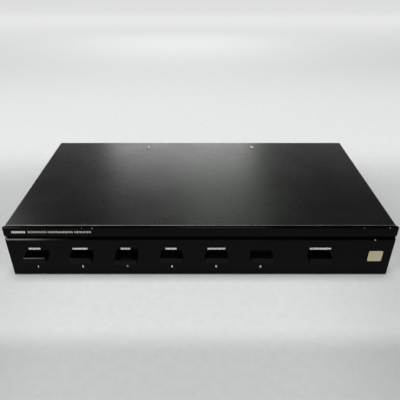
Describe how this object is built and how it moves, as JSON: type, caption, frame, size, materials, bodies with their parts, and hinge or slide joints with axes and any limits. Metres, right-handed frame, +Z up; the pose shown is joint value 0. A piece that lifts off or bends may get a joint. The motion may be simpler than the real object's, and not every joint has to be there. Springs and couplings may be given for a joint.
{
  "type": "speaker selector switch",
  "caption": "Component-width speaker selector: a low black case with a grooved gloss front, a row of push buttons and rear screw terminals.",
  "frame": {"origin": "on the surface that the feet stand on, under the middle of the overall width and depth", "axes": "+X to the right as seen from the front, the front panel faces -Y, +Z up"},
  "size_m": [0.4322, 0.246, 0.0688],
  "materials": {
    "panel_gloss": "polished black moulding",
    "cap_gloss": "satin black moulding",
    "cover_paint": "fine-textured black powder coat",
    "panel_paint": "satin black paint",
    "zinc_steel": "zinc-plated sheet",
    "black_screws": "black oxide",
    "bright_screws": "nickel plate",
    "foot_rubber": "moulded rubber",
    "board_laminate": "green solder mask",
    "resistor_ceramic": "unglazed",
    "wire_insulation": "soft vinyl",
    "slider_acetal": "natural moulding",
    "housing_plastic": "dark moulding",
    "spring_steel": "spring wire",
    "strip_phenolic": "black phenolic",
    "terminal_brass": "bare brass"
  },
  "bodies": {
    "case": {"front_panel": "panel_gloss", "front_subpanel": "zinc_steel", "base_tray": "zinc_steel", "rear_panel": "panel_paint", "top_cover": "cover_paint", "foot_front_left": "foot_rubber", "foot_front_right": "foot_rubber", "foot_rear_left": "foot_rubber", "foot_rear_right": "foot_rubber", "foot_screws": "black_screws", "cover_top_screws": "bright_screws", "cover_side_screws": "black_screws", "chassis_screws": "black_screws", "front_panel_screws": "black_screws", "switch_board": "board_laminate", "board_standoffs": "bright_screws", "board_screws": "bright_screws", "protection_resistors": "resistor_ceramic", "link_wires": "wire_insulation", "switch_1": "housing_plastic", "switch_2": "housing_plastic", "switch_3": "housing_plastic", "switch_4": "housing_plastic", "switch_5": "housing_plastic", "switch_6": "housing_plastic", "switch_protection": "housing_plastic", "spring_1": "spring_steel", "spring_2": "spring_steel", "spring_3": "spring_steel", "spring_4": "spring_steel", "spring_5": "spring_steel", "spring_6": "spring_steel", "spring_protection": "spring_steel", "strip_amplifier": "strip_phenolic", "strip_speaker_1": "strip_phenolic", "strip_speaker_2": "strip_phenolic", "strip_speaker_3": "strip_phenolic", "strip_speaker_4": "strip_phenolic", "strip_speaker_5": "strip_phenolic", "strip_speaker_6": "strip_phenolic", "strip_screws": "black_screws", "terminal_plates": "terminal_brass", "terminal_screws": "bright_screws"},
    "push_1": {"button_1": "cap_gloss", "plunger_1": "slider_acetal"},
    "push_2": {"button_2": "cap_gloss", "plunger_2": "slider_acetal"},
    "push_3": {"button_3": "cap_gloss", "plunger_3": "slider_acetal"},
    "push_4": {"button_4": "cap_gloss", "plunger_4": "slider_acetal"},
    "push_5": {"button_5": "cap_gloss", "plunger_5": "slider_acetal"},
    "push_6": {"button_6": "cap_gloss", "plunger_6": "slider_acetal"},
    "push_protection": {"button_protection": "cap_gloss", "plunger_protection": "slider_acetal"}
  },
  "joints": [
    {"name": "button_1_push", "type": "slide", "parent": "case", "child": "push_1", "axis": [0, 1, 0], "range_m": [-0.003, 0.0006]},
    {"name": "button_2_push", "type": "slide", "parent": "case", "child": "push_2", "axis": [0, 1, 0], "range_m": [-0.003, 0.0006]},
    {"name": "button_3_push", "type": "slide", "parent": "case", "child": "push_3", "axis": [0, 1, 0], "range_m": [0, 0.0036], "stiffness_N_per_m": 500, "springref_m": -0.001},
    {"name": "button_4_push", "type": "slide", "parent": "case", "child": "push_4", "axis": [0, 1, 0], "range_m": [-0.003, 0.0006]},
    {"name": "button_5_push", "type": "slide", "parent": "case", "child": "push_5", "axis": [0, 1, 0], "range_m": [-0.003, 0.0006]},
    {"name": "button_6_push", "type": "slide", "parent": "case", "child": "push_6", "axis": [0, 1, 0], "range_m": [-0.003, 0.0006]},
    {"name": "protection_push", "type": "slide", "parent": "case", "child": "push_protection", "axis": [0, 1, 0], "range_m": [-0.003, 0.0006]}
  ]
}
